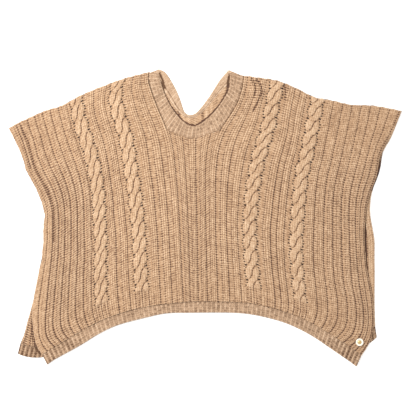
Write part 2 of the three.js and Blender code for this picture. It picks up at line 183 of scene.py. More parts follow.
def lift(x, y):
    """Height of the front cloth's inner side, in mm."""
    z = np.full(np.shape(x), FRONT_Z)
    for cx, cy, reach, across, turn, rise in LIFTS:
        a = math.radians(turn)
        dx, dy = x - cx - SHIFT[0], y - cy - SHIFT[1]
        u = (dx * math.cos(a) + dy * math.sin(a)) / reach
        w = (dy * math.cos(a) - dx * math.sin(a)) / across
        z = z + rise * np.exp(-u * u - w * w)
    return z


def step(a, b, x):
    """0 up to x = a, 1 from x = b, and a smooth rise between them."""
    t = np.clip((x - a) / (b - a), 0, 1)
    return t * t * (3 - 2 * t)


def near_line(path, x, y):
    """Distance in mm of plan points from a polyline."""
    best = np.full(np.shape(x), 1e9)
    for (ax, ay), (bx, by) in zip(path, path[1:]):
        dx, dy = bx - ax, by - ay
        t = np.clip(((x - ax) * dx + (y - ay) * dy) / (dx * dx + dy * dy), 0, 1)
        best = np.minimum(best, np.hypot(x - ax - t * dx, y - ay - t * dy))
    return best


def creased(x, y):
    """How deep the creases are at plan points, in mm, and how dark their painted shade is, from 0
    to 1.
    """
    depth, dark = np.zeros(np.shape(x)), np.zeros(np.shape(x))
    for path, wide, deep in CREASES:
        near = np.exp(-(near_line(path, x - SHIFT[0], y - SHIFT[1]) / wide) ** 2)
        depth = np.maximum(depth, deep * near)
        dark = np.maximum(dark, near * min(1.0, deep / 3))
    return depth, dark


def rib(p, even=0.5, wide=0.25):
    """Relief, painted shade in the folds and share of purl of a rib, p stitches from the middle of
    its purl pair.

    Even is how deep the fold left of the knit stitches is beside the one right of them, and how
    dark its painted shade is; wide is a fold's half width in stitches.
    """
    p = p % 5
    # Each fold is sunk in the relief and also painted dark: painted shade in the gutters.
    fold = np.exp(-((p - 3.85) / wide) ** 2)
    other = even * np.exp(-((p - 1.1) / wide) ** 2)
    crown = step(0.7, 1.6, p) * (1 - step(3.6, 4.2, p))
    return 0.7 + 0.3 * crown - 0.5 * fold - 0.5 * other, fold + other, 1 - crown


BEND = np.linspace(-1, 1, 81)
SWEEP = 0.35 * BEND + 0.65 * BEND**3  # place across the cable as a strand climbs by BEND


def crossing(u, y):
    """Relief, painted shade at the seams between strands, row of holes and large holes of a cable.

    u runs from -1 to 1 across it and y is in mm up from its last crossing.
    """
    climb = np.interp(np.clip(u, -1, 1), SWEEP, BEND)
    steep = CABLE_CLIMB / (0.35 + 1.95 * climb**2) / CABLE_WIDE
    f = (y - CABLE_CLIMB * climb) / CABLE_STEP
    over = (f - np.floor(f)) * CABLE_STEP / np.hypot(1, steep)
    under = (np.ceil(f) - f) * CABLE_STEP / np.hypot(1, steep)
    gap = np.minimum(over, under)
    strand = np.sqrt(1 - (1 - np.clip(gap / CABLE_STRAND, 0, 1)) ** 2)
    end = (y - np.copysign(CABLE_CLIMB, u)) / CABLE_STEP
    end = (end - np.round(end)) * CABLE_STEP
    notch = np.cos(math.pi * end / CABLE_STEP) ** 4
    side = abs(u) / (1.06 - 0.34 * notch)
    roof = np.sqrt(np.clip(1 - side**5, 0, 1))
    seam = np.exp(-(gap / 1.3) ** 2) * (side < 0.98) * (1 - 0.45 * step(0.5, 0.9, abs(u)))
    seam = seam * (1 - 0.75 * step(0.15, 0.8, -u)) * (1 - 0.45 * step(0.3, 0.8, u))
    holes = (1.0 - 0.12 * step(0, 0.5, -u)) * np.exp(-((side - 1.12) / 0.13) ** 2)
    large = np.exp(-((abs(u) - 0.95) / 0.15) ** 2 - (end / 2.8) ** 2)
    return roof * (0.42 + 0.58 * strand), seam, holes, large


def zipped(tris, a, b, flip):
    """Triangles between two neighbouring columns, each a pair of keys and vertex numbers."""
    (ka, ia), (kb, ib) = a, b
    i = int(np.searchsorted(ka, kb[0] - 1e-9))
    j = int(np.searchsorted(kb, ka[0] - 1e-9))
    while i < len(ka) - 1 or j < len(kb) - 1:
        next_a = ka[i + 1] if i < len(ka) - 1 else math.inf
        next_b = kb[j + 1] if j < len(kb) - 1 else math.inf
        if next_a <= next_b:
            tri = (ia[i], ia[i + 1], ib[j])
            i += 1
        else:
            tri = (ia[i], ib[j + 1], ib[j])
            j += 1
        tris.append((tri[0], tri[2], tri[1]) if flip else tri)


def rim(cols):
    """Once round a set of columns, as keys in path length and vertex numbers."""
    ring = [(c["s"], v, i) for c in cols[:1] for v, i in zip(c["key"], c["id"])]
    ring += [(c["s"], c["key"][-1], c["id"][-1]) for c in cols[1:]]
    last = cols[-1]
    ring += [(last["s"], last["key"][k], last["id"][k])
             for k in range(len(last["key"]) - 2, -1, -1)]
    for n in range(len(cols) - 2, 0, -1):
        right, here = cols[n + 1], cols[n]
        if here["key"][0] > right["key"][0] + 1e-9:
            ring += [(right["s"], v, i) for v, i in zip(right["key"], right["id"])
                     if right["key"][0] + 1e-9 < v < here["key"][0] + 1e-9]
        if here["key"][0] < right["key"][0] - 1e-9:
            extra = [(here["s"], v, i) for v, i in zip(here["key"], here["id"])
                     if here["key"][0] + 1e-9 < v < right["key"][0] + 1e-9]
            ring += extra[::-1]
        ring.append((here["s"], here["key"][0], here["id"][0]))
    ring.append(ring[0])
    q = [0.0]
    for (s0, v0, _), (s1, v1, _) in zip(ring, ring[1:]):
        q.append(q[-1] + abs(s1 - s0) + 60 * abs(v1 - v0))
    return q, [r[2] for r in ring]


def cloth_piece(name, outer, inner, material):
    """One closed wall of cloth from outer and inner columns of points in mm.

    The stitch attribute is the chart: stitch, row and share of purl. The form attribute is the
    painted shade in folds, creases and under the front's edges, the painted shade in holes, and how
    pale the cloth is, which carries painted highlights and painted light as well as stretched
    cloth;
    loud is how strongly the stitches show.
    """
    points, chart, form, loud, tris = [], [], [], [], []
    for side in (outer, inner):
        for c in side:
            n = len(c["key"])
            c["id"] = list(range(len(points), len(points) + n))
            points.extend(c["point"])
            chart.extend(c.get("chart", np.zeros((n, 3))))
            form.extend(c.get("form", np.zeros((n, 3))))
            loud.extend(c.get("loud", np.ones(n)))
    for a, b in zip(outer, outer[1:]):
        zipped(tris, (a["key"], a["id"]), (b["key"], b["id"]), False)
    for a, b in zip(inner, inner[1:]):
        zipped(tris, (a["key"], a["id"]), (b["key"], b["id"]), True)
    zipped(tris, rim(inner), rim(outer), False)
    mesh = bpy.data.meshes.new(name)
    mesh.from_pydata((np.array(points) / 1000).tolist(), [], tris)
    for label, data in (("stitch", chart), ("form", form)):
        layer = mesh.attributes.new(label, "FLOAT_VECTOR", "POINT")
        layer.data.foreach_set("vector", np.array(data, float).ravel())
    mesh.attributes.new("loud", "FLOAT", "POINT").data.foreach_set("value", np.array(loud, float))
    mesh.shade_smooth()
    mesh.materials.append(material)
    piece = bpy.data.objects.new(name, mesh)
    bpy.context.scene.collection.objects.link(piece)
    return piece


def linear(hex_colour):
    """A hex colour as linear values."""
    c = [int(hex_colour[i:i + 2], 16) / 255 for i in (0, 2, 4)]
    return tuple(x / 12.92 if x <= 0.04045 else ((x + 0.055) / 1.055) ** 2.4 for x in c) + (1.0,)


def node(tree, kind, links=(), **values):
    """A shader node with named inputs set and linked."""
    made = tree.nodes.new(kind)
    for key, value in values.items():
        if hasattr(made, key):
            setattr(made, key, value)
        else:
            made.inputs[key.replace("_", " ")].default_value = value
    for socket, source in links:
        tree.links.new(source, made.inputs[socket])
    return made.outputs


def math_node(tree, op, a, b=0.5, c=0.5):
    """A math node's result from sockets or numbers."""
    made = tree.nodes.new("ShaderNodeMath")
    made.operation = op
    for n, value in enumerate((a, b, c)):
        if isinstance(value, (int, float)):
            made.inputs[n].default_value = value
        else:
            tree.links.new(value, made.inputs[n])
    return made.outputs[0]


def knit_material(name, high, mid, low, grain, heather, dotted):
    """Heathered wool-blend knit drawn on the chart of stitches: x in stitches, y in rows.

    Wool blend is matt and a little fuzzy, in several tones of tan, with each stitch a small V.
    One stitch is about 5.5 mm wide and one row 6 mm high, a little more than the 5 mm of the real
    one so that it shows. Single fibres are too fine to show, so a whole stitch gets one tone.
    Grain is the contrast within a stitch, heather that between stitches, and dotted how far the
    painted shade in the folds beside the ribs breaks up into dots.
    """
    mat = bpy.data.materials.new(name)
    mat.use_nodes = True
    t = mat.node_tree
    shader = t.nodes["Principled BSDF"]
    place = node(t, "ShaderNodeSeparateXYZ",
                 [("Vector", node(t, "ShaderNodeAttribute", attribute_name="stitch")["Vector"])])
    shape = node(t, "ShaderNodeSeparateXYZ",
                 [("Vector", node(t, "ShaderNodeAttribute", attribute_name="form")["Vector"])])
    x, purl = place["X"], place["Z"]
    crease, dots, pale = shape["X"], shape["Y"], shape["Z"]
    body = node(t, "ShaderNodeTexCoord")["Object"]
    # Hand tension differs, so the rows drift a little up and down.
    drift = node(t, "ShaderNodeTexNoise", [("Vector", body)], Scale=30.0, Detail=1.0)["Fac"]
    y = math_node(t, "MULTIPLY_ADD", drift, 1.4, place["Y"])
    # A knit stitch is a V of two legs, and a purl stitch a low arch half a row up.
    across = math_node(t, "ABSOLUTE", math_node(t, "SUBTRACT", math_node(t, "FRACT", x), 0.5))
    lean = math_node(t, "MULTIPLY_ADD", across, 0.6, y)
    legs = math_node(t, "COSINE", math_node(t, "MULTIPLY", lean, 2 * math.pi))
    side = math_node(t, "COSINE", math_node(t, "MULTIPLY", across, 2 * math.pi))
    loop = math_node(t, "MULTIPLY_ADD", legs, 0.4, math_node(t, "MULTIPLY_ADD", side, 0.45, 0.5))
    rows = math_node(t, "COSINE", math_node(t, "MULTIPLY", y, 2 * math.pi))
    arch = math_node(t, "COSINE", math_node(t, "MULTIPLY", x, math.pi))
    arch = math_node(t, "MULTIPLY", rows, math_node(t, "MULTIPLY_ADD", arch, 0.3, 0.4))
    arch = math_node(t, "ADD", arch, 0.45)
    pick = t.nodes.new("ShaderNodeMix")
    t.links.new(purl, pick.inputs["Factor"])
    t.links.new(loop, pick.inputs[2])
    t.links.new(arch, pick.inputs[3])
    loop = pick.outputs[0]
    # Heather: each stitch has its own tone, and light and dark fibres lie across them.
    stitch = node(t, "ShaderNodeCombineXYZ",
               [("X", math_node(t, "FLOOR", x)), ("Y", math_node(t, "FLOOR", lean))])["Vector"]
    tuft = node(t, "ShaderNodeTexWhiteNoise", [("Vector", stitch)], noise_dimensions="2D")["Value"]
    fibre = node(t, "ShaderNodeTexNoise", [("Vector", body)], Scale=390.0, Detail=1.0,
                 Roughness=0.6)["Fac"]
    slow = node(t, "ShaderNodeTexNoise", [("Vector", body)], Scale=22.0, Detail=2.0)["Fac"]
    tone = math_node(t, "MULTIPLY_ADD", fibre, 0.7, math_node(t, "MULTIPLY_ADD", slow, 0.16, 0.07))
    tone = math_node(t, "MULTIPLY_ADD", math_node(t, "SUBTRACT", tuft, 0.5), heather, tone)
    # Pale cloth, stretched or under a painted highlight, shows its stitches less, and so does cloth
    # that is not loud.
    calm = node(t, "ShaderNodeMapRange", [("Value", pale)],
                To_Min=grain, To_Max=0.4 * grain)["Result"]
    loud = node(t, "ShaderNodeAttribute", attribute_name="loud")["Fac"]
    calm = math_node(t, "MULTIPLY", calm, loud)
    tone = math_node(t, "MULTIPLY_ADD", math_node(t, "SUBTRACT", loop, 0.5), calm, tone)
    # Painted shade: the folds beside the ribs, the creases and the lines under the front's edges
    # show as thin dark lines, darker between two rows, that come and go.
    patchy = node(t, "ShaderNodeTexNoise", [("Vector", body)], Scale=34.0, Detail=1.0)["Fac"]
    patchy = math_node(t, "MULTIPLY_ADD", patchy, 1.0, 0.35)
    line = math_node(t, "MULTIPLY", math_node(t, "MULTIPLY_ADD", rows, -dotted, 1.0), patchy)
    line = math_node(t, "MAXIMUM", line, math_node(t, "MULTIPLY", pale, 0.75))
    level = math_node(t, "SUBTRACT", tone, math_node(t, "MULTIPLY", crease, line))
    # Pale cloth is painted lighter: a painted highlight on the raised cable strands, the rib crowns
    # and the band ridges, painted light on parts of the back, and the stretched outermost ribs.
    level = math_node(t, "MULTIPLY_ADD", pale, 0.13, level)
    ramp = t.nodes.new("ShaderNodeValToRGB")
    ramp.color_ramp.elements[0].color = linear(low)
    ramp.color_ramp.elements[0].position = 0.0
    ramp.color_ramp.elements[1].color = linear(high)
    ramp.color_ramp.elements[1].position = 1.0
    middle = ramp.color_ramp.elements.new(0.5)
    middle.color = linear(mid)
    t.links.new(level, ramp.inputs["Fac"])
    # Holes beside the cables and above the hem, and a larger one at each crossing, all painted
    # dark:
    # painted shade inside the holes.
    cell = node(t, "ShaderNodeCombineXYZ",
                [("Y", math_node(t, "ROUND", y)), ("X", math_node(t, "ROUND", x))])["Vector"]
    jitter = node(t, "ShaderNodeTexWhiteNoise", [("Vector", cell)],
                  noise_dimensions="2D")["Value"]
    turn = 2 * math.pi * ROW / HOLE_STEP
    beat = math_node(t, "COSINE", math_node(t, "MULTIPLY", place["Y"], turn))
    hole = math_node(t, "MULTIPLY_ADD", beat, 0.8, math_node(t, "MULTIPLY_ADD", jitter, 0.3, 0.2))
    hole = math_node(t, "MULTIPLY", math_node(t, "MAXIMUM", hole, 0.0), dots)
    large = math_node(t, "MAXIMUM", math_node(t, "SUBTRACT", dots, 1.0), 0.0)
    hole = math_node(t, "ADD", hole, large)
    hole = node(t, "ShaderNodeMapRange", [("Value", hole)], From_Min=0.3, From_Max=0.6)["Result"]
    dark = t.nodes.new("ShaderNodeMix")
    dark.data_type = "RGBA"
    t.links.new(hole, dark.inputs["Factor"])
    t.links.new(ramp.outputs["Color"], dark.inputs[6])
    dark.inputs[7].default_value = linear("35221a")
    t.links.new(dark.outputs[2], shader.inputs["Base Color"])
    shader.inputs["Roughness"].default_value = 0.92
    shader.inputs["IOR"].default_value = 1.54
    shader.inputs["Specular IOR Level"].default_value = 0.25
    shader.inputs["Sheen Weight"].default_value = 0.12
    shader.inputs["Sheen Roughness"].default_value = 0.6
    height = math_node(t, "MULTIPLY_ADD", fibre, 0.8, math_node(t, "SUBTRACT", loop, hole))
    height = math_node(t, "MULTIPLY_ADD", tuft, 0.3, height)
    bump = node(t, "ShaderNodeBump", [("Height", height)], Strength=0.7, Distance=0.0009)
    t.links.new(bump["Normal"], shader.inputs["Normal"])
    return mat


RIB_COLUMNS = (0, 0.5, 0.85, 1.0, 1.2, 1.4, 1.9, 2.6, 3.2, 3.6, 3.78, 3.95, 4.15, 4.5)


def rib_stitches(spans):
    """Stitches that get a column over five-stitch ribs, close together at their two folds."""
    return [s + p for a, b in spans for s in np.arange(a, b - 0.01, 5) for p in RIB_COLUMNS]


FRONT_SPANS = [(0, 40), (48, 58), (66, 111), (119, 129), (137, 177)]  # runs of ribs, in stitches
LENGTHS = ([0, 44, 62, 79, 88.5, 98, 115, 133, 177],  # stitches, then mm from shoulder to hem
           [610, 590, 594, 606, 590, 602, 590, 588, 660])
# FOLDS and LOW_FOLDS set how dark the painted shade in the rib folds is.
FOLDS = ([0, 6, 9, 38, 60, 70, 100, 115, 177],  # stitches, then how dark the folds are
         [0.5, 0.6, 1.1, 1.1, 0.85, 0.66, 0.7, 0.82, 1.05])
LOW_FOLDS = ([0, 7, 10, 20, 30, 45, 130, 150, 160, 166, 177],  # and what is added near the hem
             [0, 0.45, 0.45, 0.1, -0.2, -0.1, 0, -0.1, 0.1, 0.45, 0])
LOUD = ([0, 40, 80, 98, 120, 177],  # stitches, then how strongly the knit shows
        [0.95, 1.0, 0.86, 0.86, 0.9, 0.78])
knit = knit_material("wool_blend_rib_and_cable_knit", "e8cbab", "b69271", "583c2e", 0.5, 0.22, 0.7)
border = [0.006, 0.994]
rows = np.unique([*np.linspace(0, NECK[2], 28), *np.linspace(NECK[2], 1, 76), *border])
fine = np.unique([*np.linspace(0, 1, 250), *border])
stitches = [s for s in rib_stitches(FRONT_SPANS) if min(abs(s - c) for c in CABLES) > CABLE_HALF]
for c in CABLES:
    stitches += [c + u for u in np.linspace(-CABLE_HALF, CABLE_HALF, 43)]
stitches = sorted(set(np.round(stitches + [*np.arange(0.3, 13, 0.4), *np.arange(99, 108, 0.4)]
                               + [LAST, *NECK[:2]], 4)))
outer = []
for s in stitches:
    near = min(CABLES, key=lambda c: abs(c - s))
    key = fine if abs(s - near) <= CABLE_HALF else rows
    key = key[key >= NECK[2] - 1e-9] if NECK[0] < s < NECK[1] else key
    xy = cloth(s, key)
    reach = np.interp(s, *LENGTHS)
    count = key * reach / ROW
    span = next((a for a, b in FRONT_SPANS if a <= s <= b), 0)
    even = 0.9 if 115 < s < 133 else 0.5 if 60 < s < 115 else 0.3
    ends = (max(s - 0.5, 98 if s >= 98 else 0), min(s + 0.5, 79 if s <= 79 else LAST))
    gauge = np.hypot(*(cloth(ends[1], key) - cloth(ends[0], key)).T) / (ends[1] - ends[0])
    relief, fold, purl = rib(s - span, even, 1.3 / np.clip(gauge, 3.4, 7))
    # The painted shade in the folds is weaker near the shoulders and changes near the hem.
    strong = np.interp(s, *FOLDS) * np.interp(key, [0, 0.22, 0.42, 1], [0.5, 0.5, 1.0, 1.1])
    strong = strong * (1 + step(0.7, 0.82, key) * np.interp(s, *LOW_FOLDS))
    rise, fold = RIB_RISE * relief, fold * strong
    dots, pale, purl = np.zeros(len(key)), np.zeros(len(key)), np.full(len(key), purl)
    if abs(s - near) <= CABLE_HALF:
        wide = np.hypot(*(cloth(near + 3, key) - cloth(near - 3, key)).T) / 6
        u = (s - near) * wide / CABLE_WIDE
        rope, seam_shade, holes, large = crossing(u, (CABLE_END - key) * reach)
        on = step(CABLE_END + 0.012, CABLE_END - 0.004, key)
        gutter = RIB_RISE * 0.7
        # Below its last crossing the cable's strands open out into thin ribs.
        splay = np.exp(-((abs(u) - 0.5 * np.round(abs(u) / 0.5)) / 0.07) ** 2) * (abs(u) < 1.2)
        rise = gutter + on * (CABLE_RISE - gutter) * rope - (1 - on) * 0.6 * splay
        # Painted shade at the seams between the crossed strands and between the thin ribs below
        # them, and a painted highlight that makes the strands paler the higher they stand.
        fold = on * seam_shade * (0.74 if s > 98 else 0.92) + (1 - on) * 0.5 * splay
        purl = on * step(0.95, 1.05, abs(u))
        pale = on * np.clip(rope * 1.4, 0, 1)
        dots = on * np.maximum(holes, 2.2 * large)
    loud = np.interp(gauge, [3.4, 4.4, 5.4, 7.0], [1.1, 1.05, 0.95, 0.85])
    loud = loud * (1 - 0.4 * step(0.3, 0.1, key) * step(30, 60, abs(s - 88.5)))
    loud = loud * np.interp(key, [0.84, 0.93], [1, 0.7]) * np.interp(s, *LOUD)
    # The outermost ribs are stretched smooth below the arms.
    outermost = (1 - step(6, 10, s) + step(167, 171, s)) * step(0.34, 0.5, key)
    loud = loud * (1 - 0.45 * outermost)
    pale = np.maximum(pale, 0.5 * outermost)
    # Rib ends make small bumps along the shoulders, and row ends along the sides.
    xy[:, 1] += END_BUMP * math.cos(2 * math.pi * (s - span) / 5) * np.exp(-key * reach / 7)
    side = max(0, 1 - s / 2.5) - max(0, 1 - (LAST - s) / 2.5)
    swell = np.sin(2 * math.pi * key * reach / SIDE_PITCH) * step(0, 0.03, key)
    xy[:, 0] += SIDE_BUMP * side * swell
    free = step(0, 0.6, min(s, LAST - s)) * step(0, 0.006, key)
    # The creases are cut in and painted dark along their whole length as painted shade.
    depth, dark = creased(xy[:, 0], xy[:, 1])
    pale = np.maximum(pale, dark)
    z = lift(xy[:, 0], xy[:, 1]) + FRONT_WALL * (0.6 + 0.4 * free) + rise * free
    z = z - np.minimum(depth, z - lift(xy[:, 0], xy[:, 1]) - 0.8) * free
    outer.append({"s": s, "key": key, "point": np.column_stack([xy, z]),
                  "chart": np.column_stack([np.full(len(key), s), count, purl]),
                  "form": np.column_stack([np.maximum(fold, 1.2 * dark), dots, pale]),
                  "loud": loud})
# The inner side is plain.
inner = []
for s in sorted({*range(0, 178, 4), LAST, *NECK[:2], 88.5}):
    key = rows[::6] if not NECK[0] < s < NECK[1] else rows[rows >= NECK[2] - 1e-9][::6]
    key = np.unique(np.concatenate([key, [1.0]] + ([[NECK[2]]] if s in NECK[:2] else [])))
    xy = cloth(s, key)
    inner.append({"s": s, "key": key, "point": np.column_stack([xy, lift(xy[:, 0], xy[:, 1])]),
                  "chart": np.column_stack([np.full(len(key), s), key * 600 / ROW,
                                            np.full(len(key), 0.5)])})
front = cloth_piece("panel_front", outer, inner, knit)
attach(front, "root")
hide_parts("panel_front")

# Back panel: the same cloth under the front, its inner side up. It shows in the neck, at the right
# side slit and at the lower left corner; its outer side is pressed flat on the floor.
BACK_LINES = {
    0: [(-509, 233), (-488, 194), (-470, 152), (-456, 110), (-435, 73), (-416, 22), (-415, 1),
        (-420, -25), (-418, -56), (-422, -87), (-436, -165), (-454, -238), (-464, -271),
        (-471, -302), (-481, -324)],
    4: [(-497, 243), (-476, 195), (-440, 113), (-405, 40), (-404, -8), (-408, -82), (-430, -200),
        (-452, -290), (-456, -334)],
    11: [(-475, 253), (-446, 143), (-409, 73), (-392, 20), (-388, -82), (-400, -190), (-416, -290),
         (-422, -334)],
    20: [(-440, 268), (-410, 160), (-370, 60), (-350, -14), (-346, -105), (-362, -220),
         (-383, -316)],
    32: [(-392, 290), (-365, 180), (-332, 79), (-312, -14), (-308, -105), (-320, -210),
         (-337, -294)],
    44: [(-337, 313), (-325, 244), (-298, 165), (-281, 79), (-277, -14), (-274, -105),
         (-282, -260)],
    62: [(-226, 357), (-221, 255), (-200, 174), (-182, 51), (-172, -48), (-167, -224)],
    77: [(-150, 377), (-140, 255), (-108, 126), (-90, -82), (-84, -210)],
    79: [(-144, 379), (-128, 250), (-98, 126), (-78, -82), (-72, -210)],
    82: [(-104, 325), (-92, 240), (-74, 126), (-62, -82), (-58, -210)],
    84.5: [(-72, 279), (-64, 220), (-52, 126), (-46, -82), (-42, -210)],
    87: [(-37, 261), (-34, 200), (-30, 126), (-26, -82), (-24, -210)],
    90: [(-4, 279), (-2, 220), (-2, 126), (-6, -82), (-8, -210)],
    93: [(37, 324), (30, 240), (20, 126), (10, -82), (8, -210)],
    96: [(77, 360), (60, 250), (36, 126), (26, -82), (24, -210)],
    98: [(98, 366), (80, 250), (52, 126), (40, -82), (36, -210)],
    115: [(187, 356), (164, 239), (133, 139), (118, 32), (115, -58), (124, -215)],
    133: [(293, 313), (280, 248), (252, 125), (239, -6), (239, -139), (262, -257)],
    162: [(435, 292), (425, 243), (398, 136), (385, 17), (395, -82), (396, -240), (390, -301)],
    177: [(509, 277), (482, 208), (468, 180), (459, 148), (449, 110), (433, 74), (427, 35),
          (428, 5), (435, -29), (440, -59), (439, -99), (440, -139), (439, -212), (441, -281)],
}
BACK_TOP = 3.0  # mm, the back's upper side
BACK_DIP = 0.9  # mm, depth of its gutters
# Painted shadow: dark lines painted on the back where the front's edge stands over it.
SHADED = [  # lines where the front's edge stands over the back: points, width in mm and darkness
    ([(416, 40), (414, -23), (414, -55), (416, -89), (420, -130)], 1.8, 2.0),
    ([(415, -30), (416, -66), (418, -96)], 2.4, 2.2),
    ([(463, 174), (456, 147), (445, 103), (432, 76)], 2.0, 1.8),
    ([(418, -125), (424, -150), (430, -176), (434, -200), (437, -228)], 1.4, 0.4),
    ([(-450, -262), (-450, -303), (-440, -338), (-429, -353)], 2.0, 0.9),
    ([(-114, 352), (-106, 322), (-92, 295), (-76, 273), (-60, 255), (-44, 245), (-28, 241),
      (-14, 248), (2, 260), (18, 274), (34, 293), (49, 316), (58, 334)], 1.9, 1.1),
    ([(-119, 378), (-112, 360), (-106, 340)], 2.8, 1.0),
    ([(62, 374), (59, 358), (57, 340)], 2.8, 1.0),
]


def back_cloth(s, v):
    """Plan points, in mm, of stitch s of the back at shares v of its length."""
    return smooth(list(BACK_LINES), np.array([along(eased(p), v) for p in BACK_LINES.values()]),
                  s) + np.array(SHIFT) + nudge(s, v)


def shaded(x, y):
    """Painted shadow on the back at plan points, where the front lies close over it."""
    dark = np.zeros(np.shape(x))
    for path, wide, much in SHADED:
        far = near_line(path, x - SHIFT[0], y - SHIFT[1])
        dark = np.maximum(dark, much * np.exp(-(far / wide) ** 2))
    return dark


back_rows = np.unique(np.concatenate([np.linspace(0, 0.12, 24), np.linspace(0.12, 1, 80)]))
outer, inner = [], []
neck_rows = np.unique(np.concatenate([np.linspace(0, 0.24, 110), back_rows[back_rows > 0.24]]))
stitches = sorted(set(np.round(rib_stitches(FRONT_SPANS) + [*np.arange(165, LAST, 0.4), LAST]
                               + [c + u for c in CABLES for u in range(-4, 5)], 4)))
for s in stitches:
    key = neck_rows if 76 < s < 101 else back_rows
    xy = back_cloth(s, key)
    near = min(CABLES, key=lambda c: abs(c - s))
    span = next((a for a, b in FRONT_SPANS if a <= s <= b), None)
    # The inner side shows the ribs reversed: three stitches sunk, two raised.
    relief, crease, purl = rib(2.5 - (s - span)) if span is not None else (0.5, 0.0, 0.6)
    free = step(0, 0.8, min(s, LAST - s)) * step(0, 0.01, 1 - abs(2 * key - 1))
    z = BACK_TOP - BACK_DIP * (1 - np.clip(relief, 0, 1)) * free - 0.8 * (1 - free)
    reach = np.interp(s, [0, 79, 87, 98, 133, 177], [598, 595, 475, 580, 580, 585])
    count = (1 - key) * reach / ROW
    ones = np.ones(len(key))
    # The back's folds and the lines under the front's edges are painted dark: painted shade and
    # shadow.
    dark = shaded(xy[:, 0], xy[:, 1])
    # Painted light: the back is painted lighter towards the neck and along the right-hand strip; it
    # is also darker towards the lower left corner.
    tint = np.interp(xy[:, 1], [-340, -250, 150, 260], [-1.1, 0, 0, 1])
    tint = tint + 1.3 * step(380, 410, xy[:, 0])
    outer.append({"s": s, "key": key, "point": np.column_stack([xy, z - 0.5 * np.minimum(dark, 1)]),
                  "chart": np.column_stack([s * ones, count, purl * ones]),
                  "form": np.column_stack([0.5 * crease + dark, 0 * ones, tint])})
    # The underside rests flat, so its ribs are there in painted fold shade alone.
    crease, purl = rib(s - span)[1:] if span is not None else (0.0, 0.5)
    few = np.unique([*range(0, len(key), 3), len(key) - 1])
    ones = np.ones(len(few))
    inner.append({"s": s, "key": key[few], "point": np.column_stack([xy[few], 0 * ones]),
                  "chart": np.column_stack([s * ones, count[few], purl * ones]),
                  "form": np.column_stack([crease * ones, 0 * ones, 0 * ones])})
back = cloth_piece("panel_back", outer, inner, knit)
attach(back, "root")
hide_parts("panel_back")

# Neckbands: one-by-one rib strips of the same yarn, 24 mm deep at their ends and up to 34 mm at
# the front's middle, linked round the front and the back neck.
# The back one is seen from its inner side and rolls under at the middle.
NECK_EDGE = [
    (-124, 376), (-116, 355), (-110, 335), (-102, 314), (-90, 291), (-75, 270), (-60, 253),
    (-44, 242), (-28, 238), (-16, 244), (0, 255), (16, 269), (32, 288), (48, 311), (58, 329),
    (63, 345), (64, 358), (63, 378)]
BACK_NECK_EDGE = [
    (-121, 388), (-105, 382), (-94, 366), (-82, 346), (-72, 326), (-63, 302), (-56, 277),
    (-47, 270), (-37, 269), (-27, 272), (-16, 283), (-3, 299), (10, 317), (22, 336), (35, 357),
    (48, 373), (60, 386)]
BAND_PITCH = 11.6  # mm, one knit and one purl
BAND_WALL = 1.8  # mm of cloth in a band's gutters
BAND_RISE = 1.0  # mm from gutter to crown

band_knit = knit_material("wool_blend_one_by_one_rib", "e5ccb0", "bd9d80", "60442f",
                          0.15, 0.25, 0.2)


def floor_level(x, y):
    """Height of the inner side of a band that lies on the floor."""
    return np.zeros(np.shape(x))


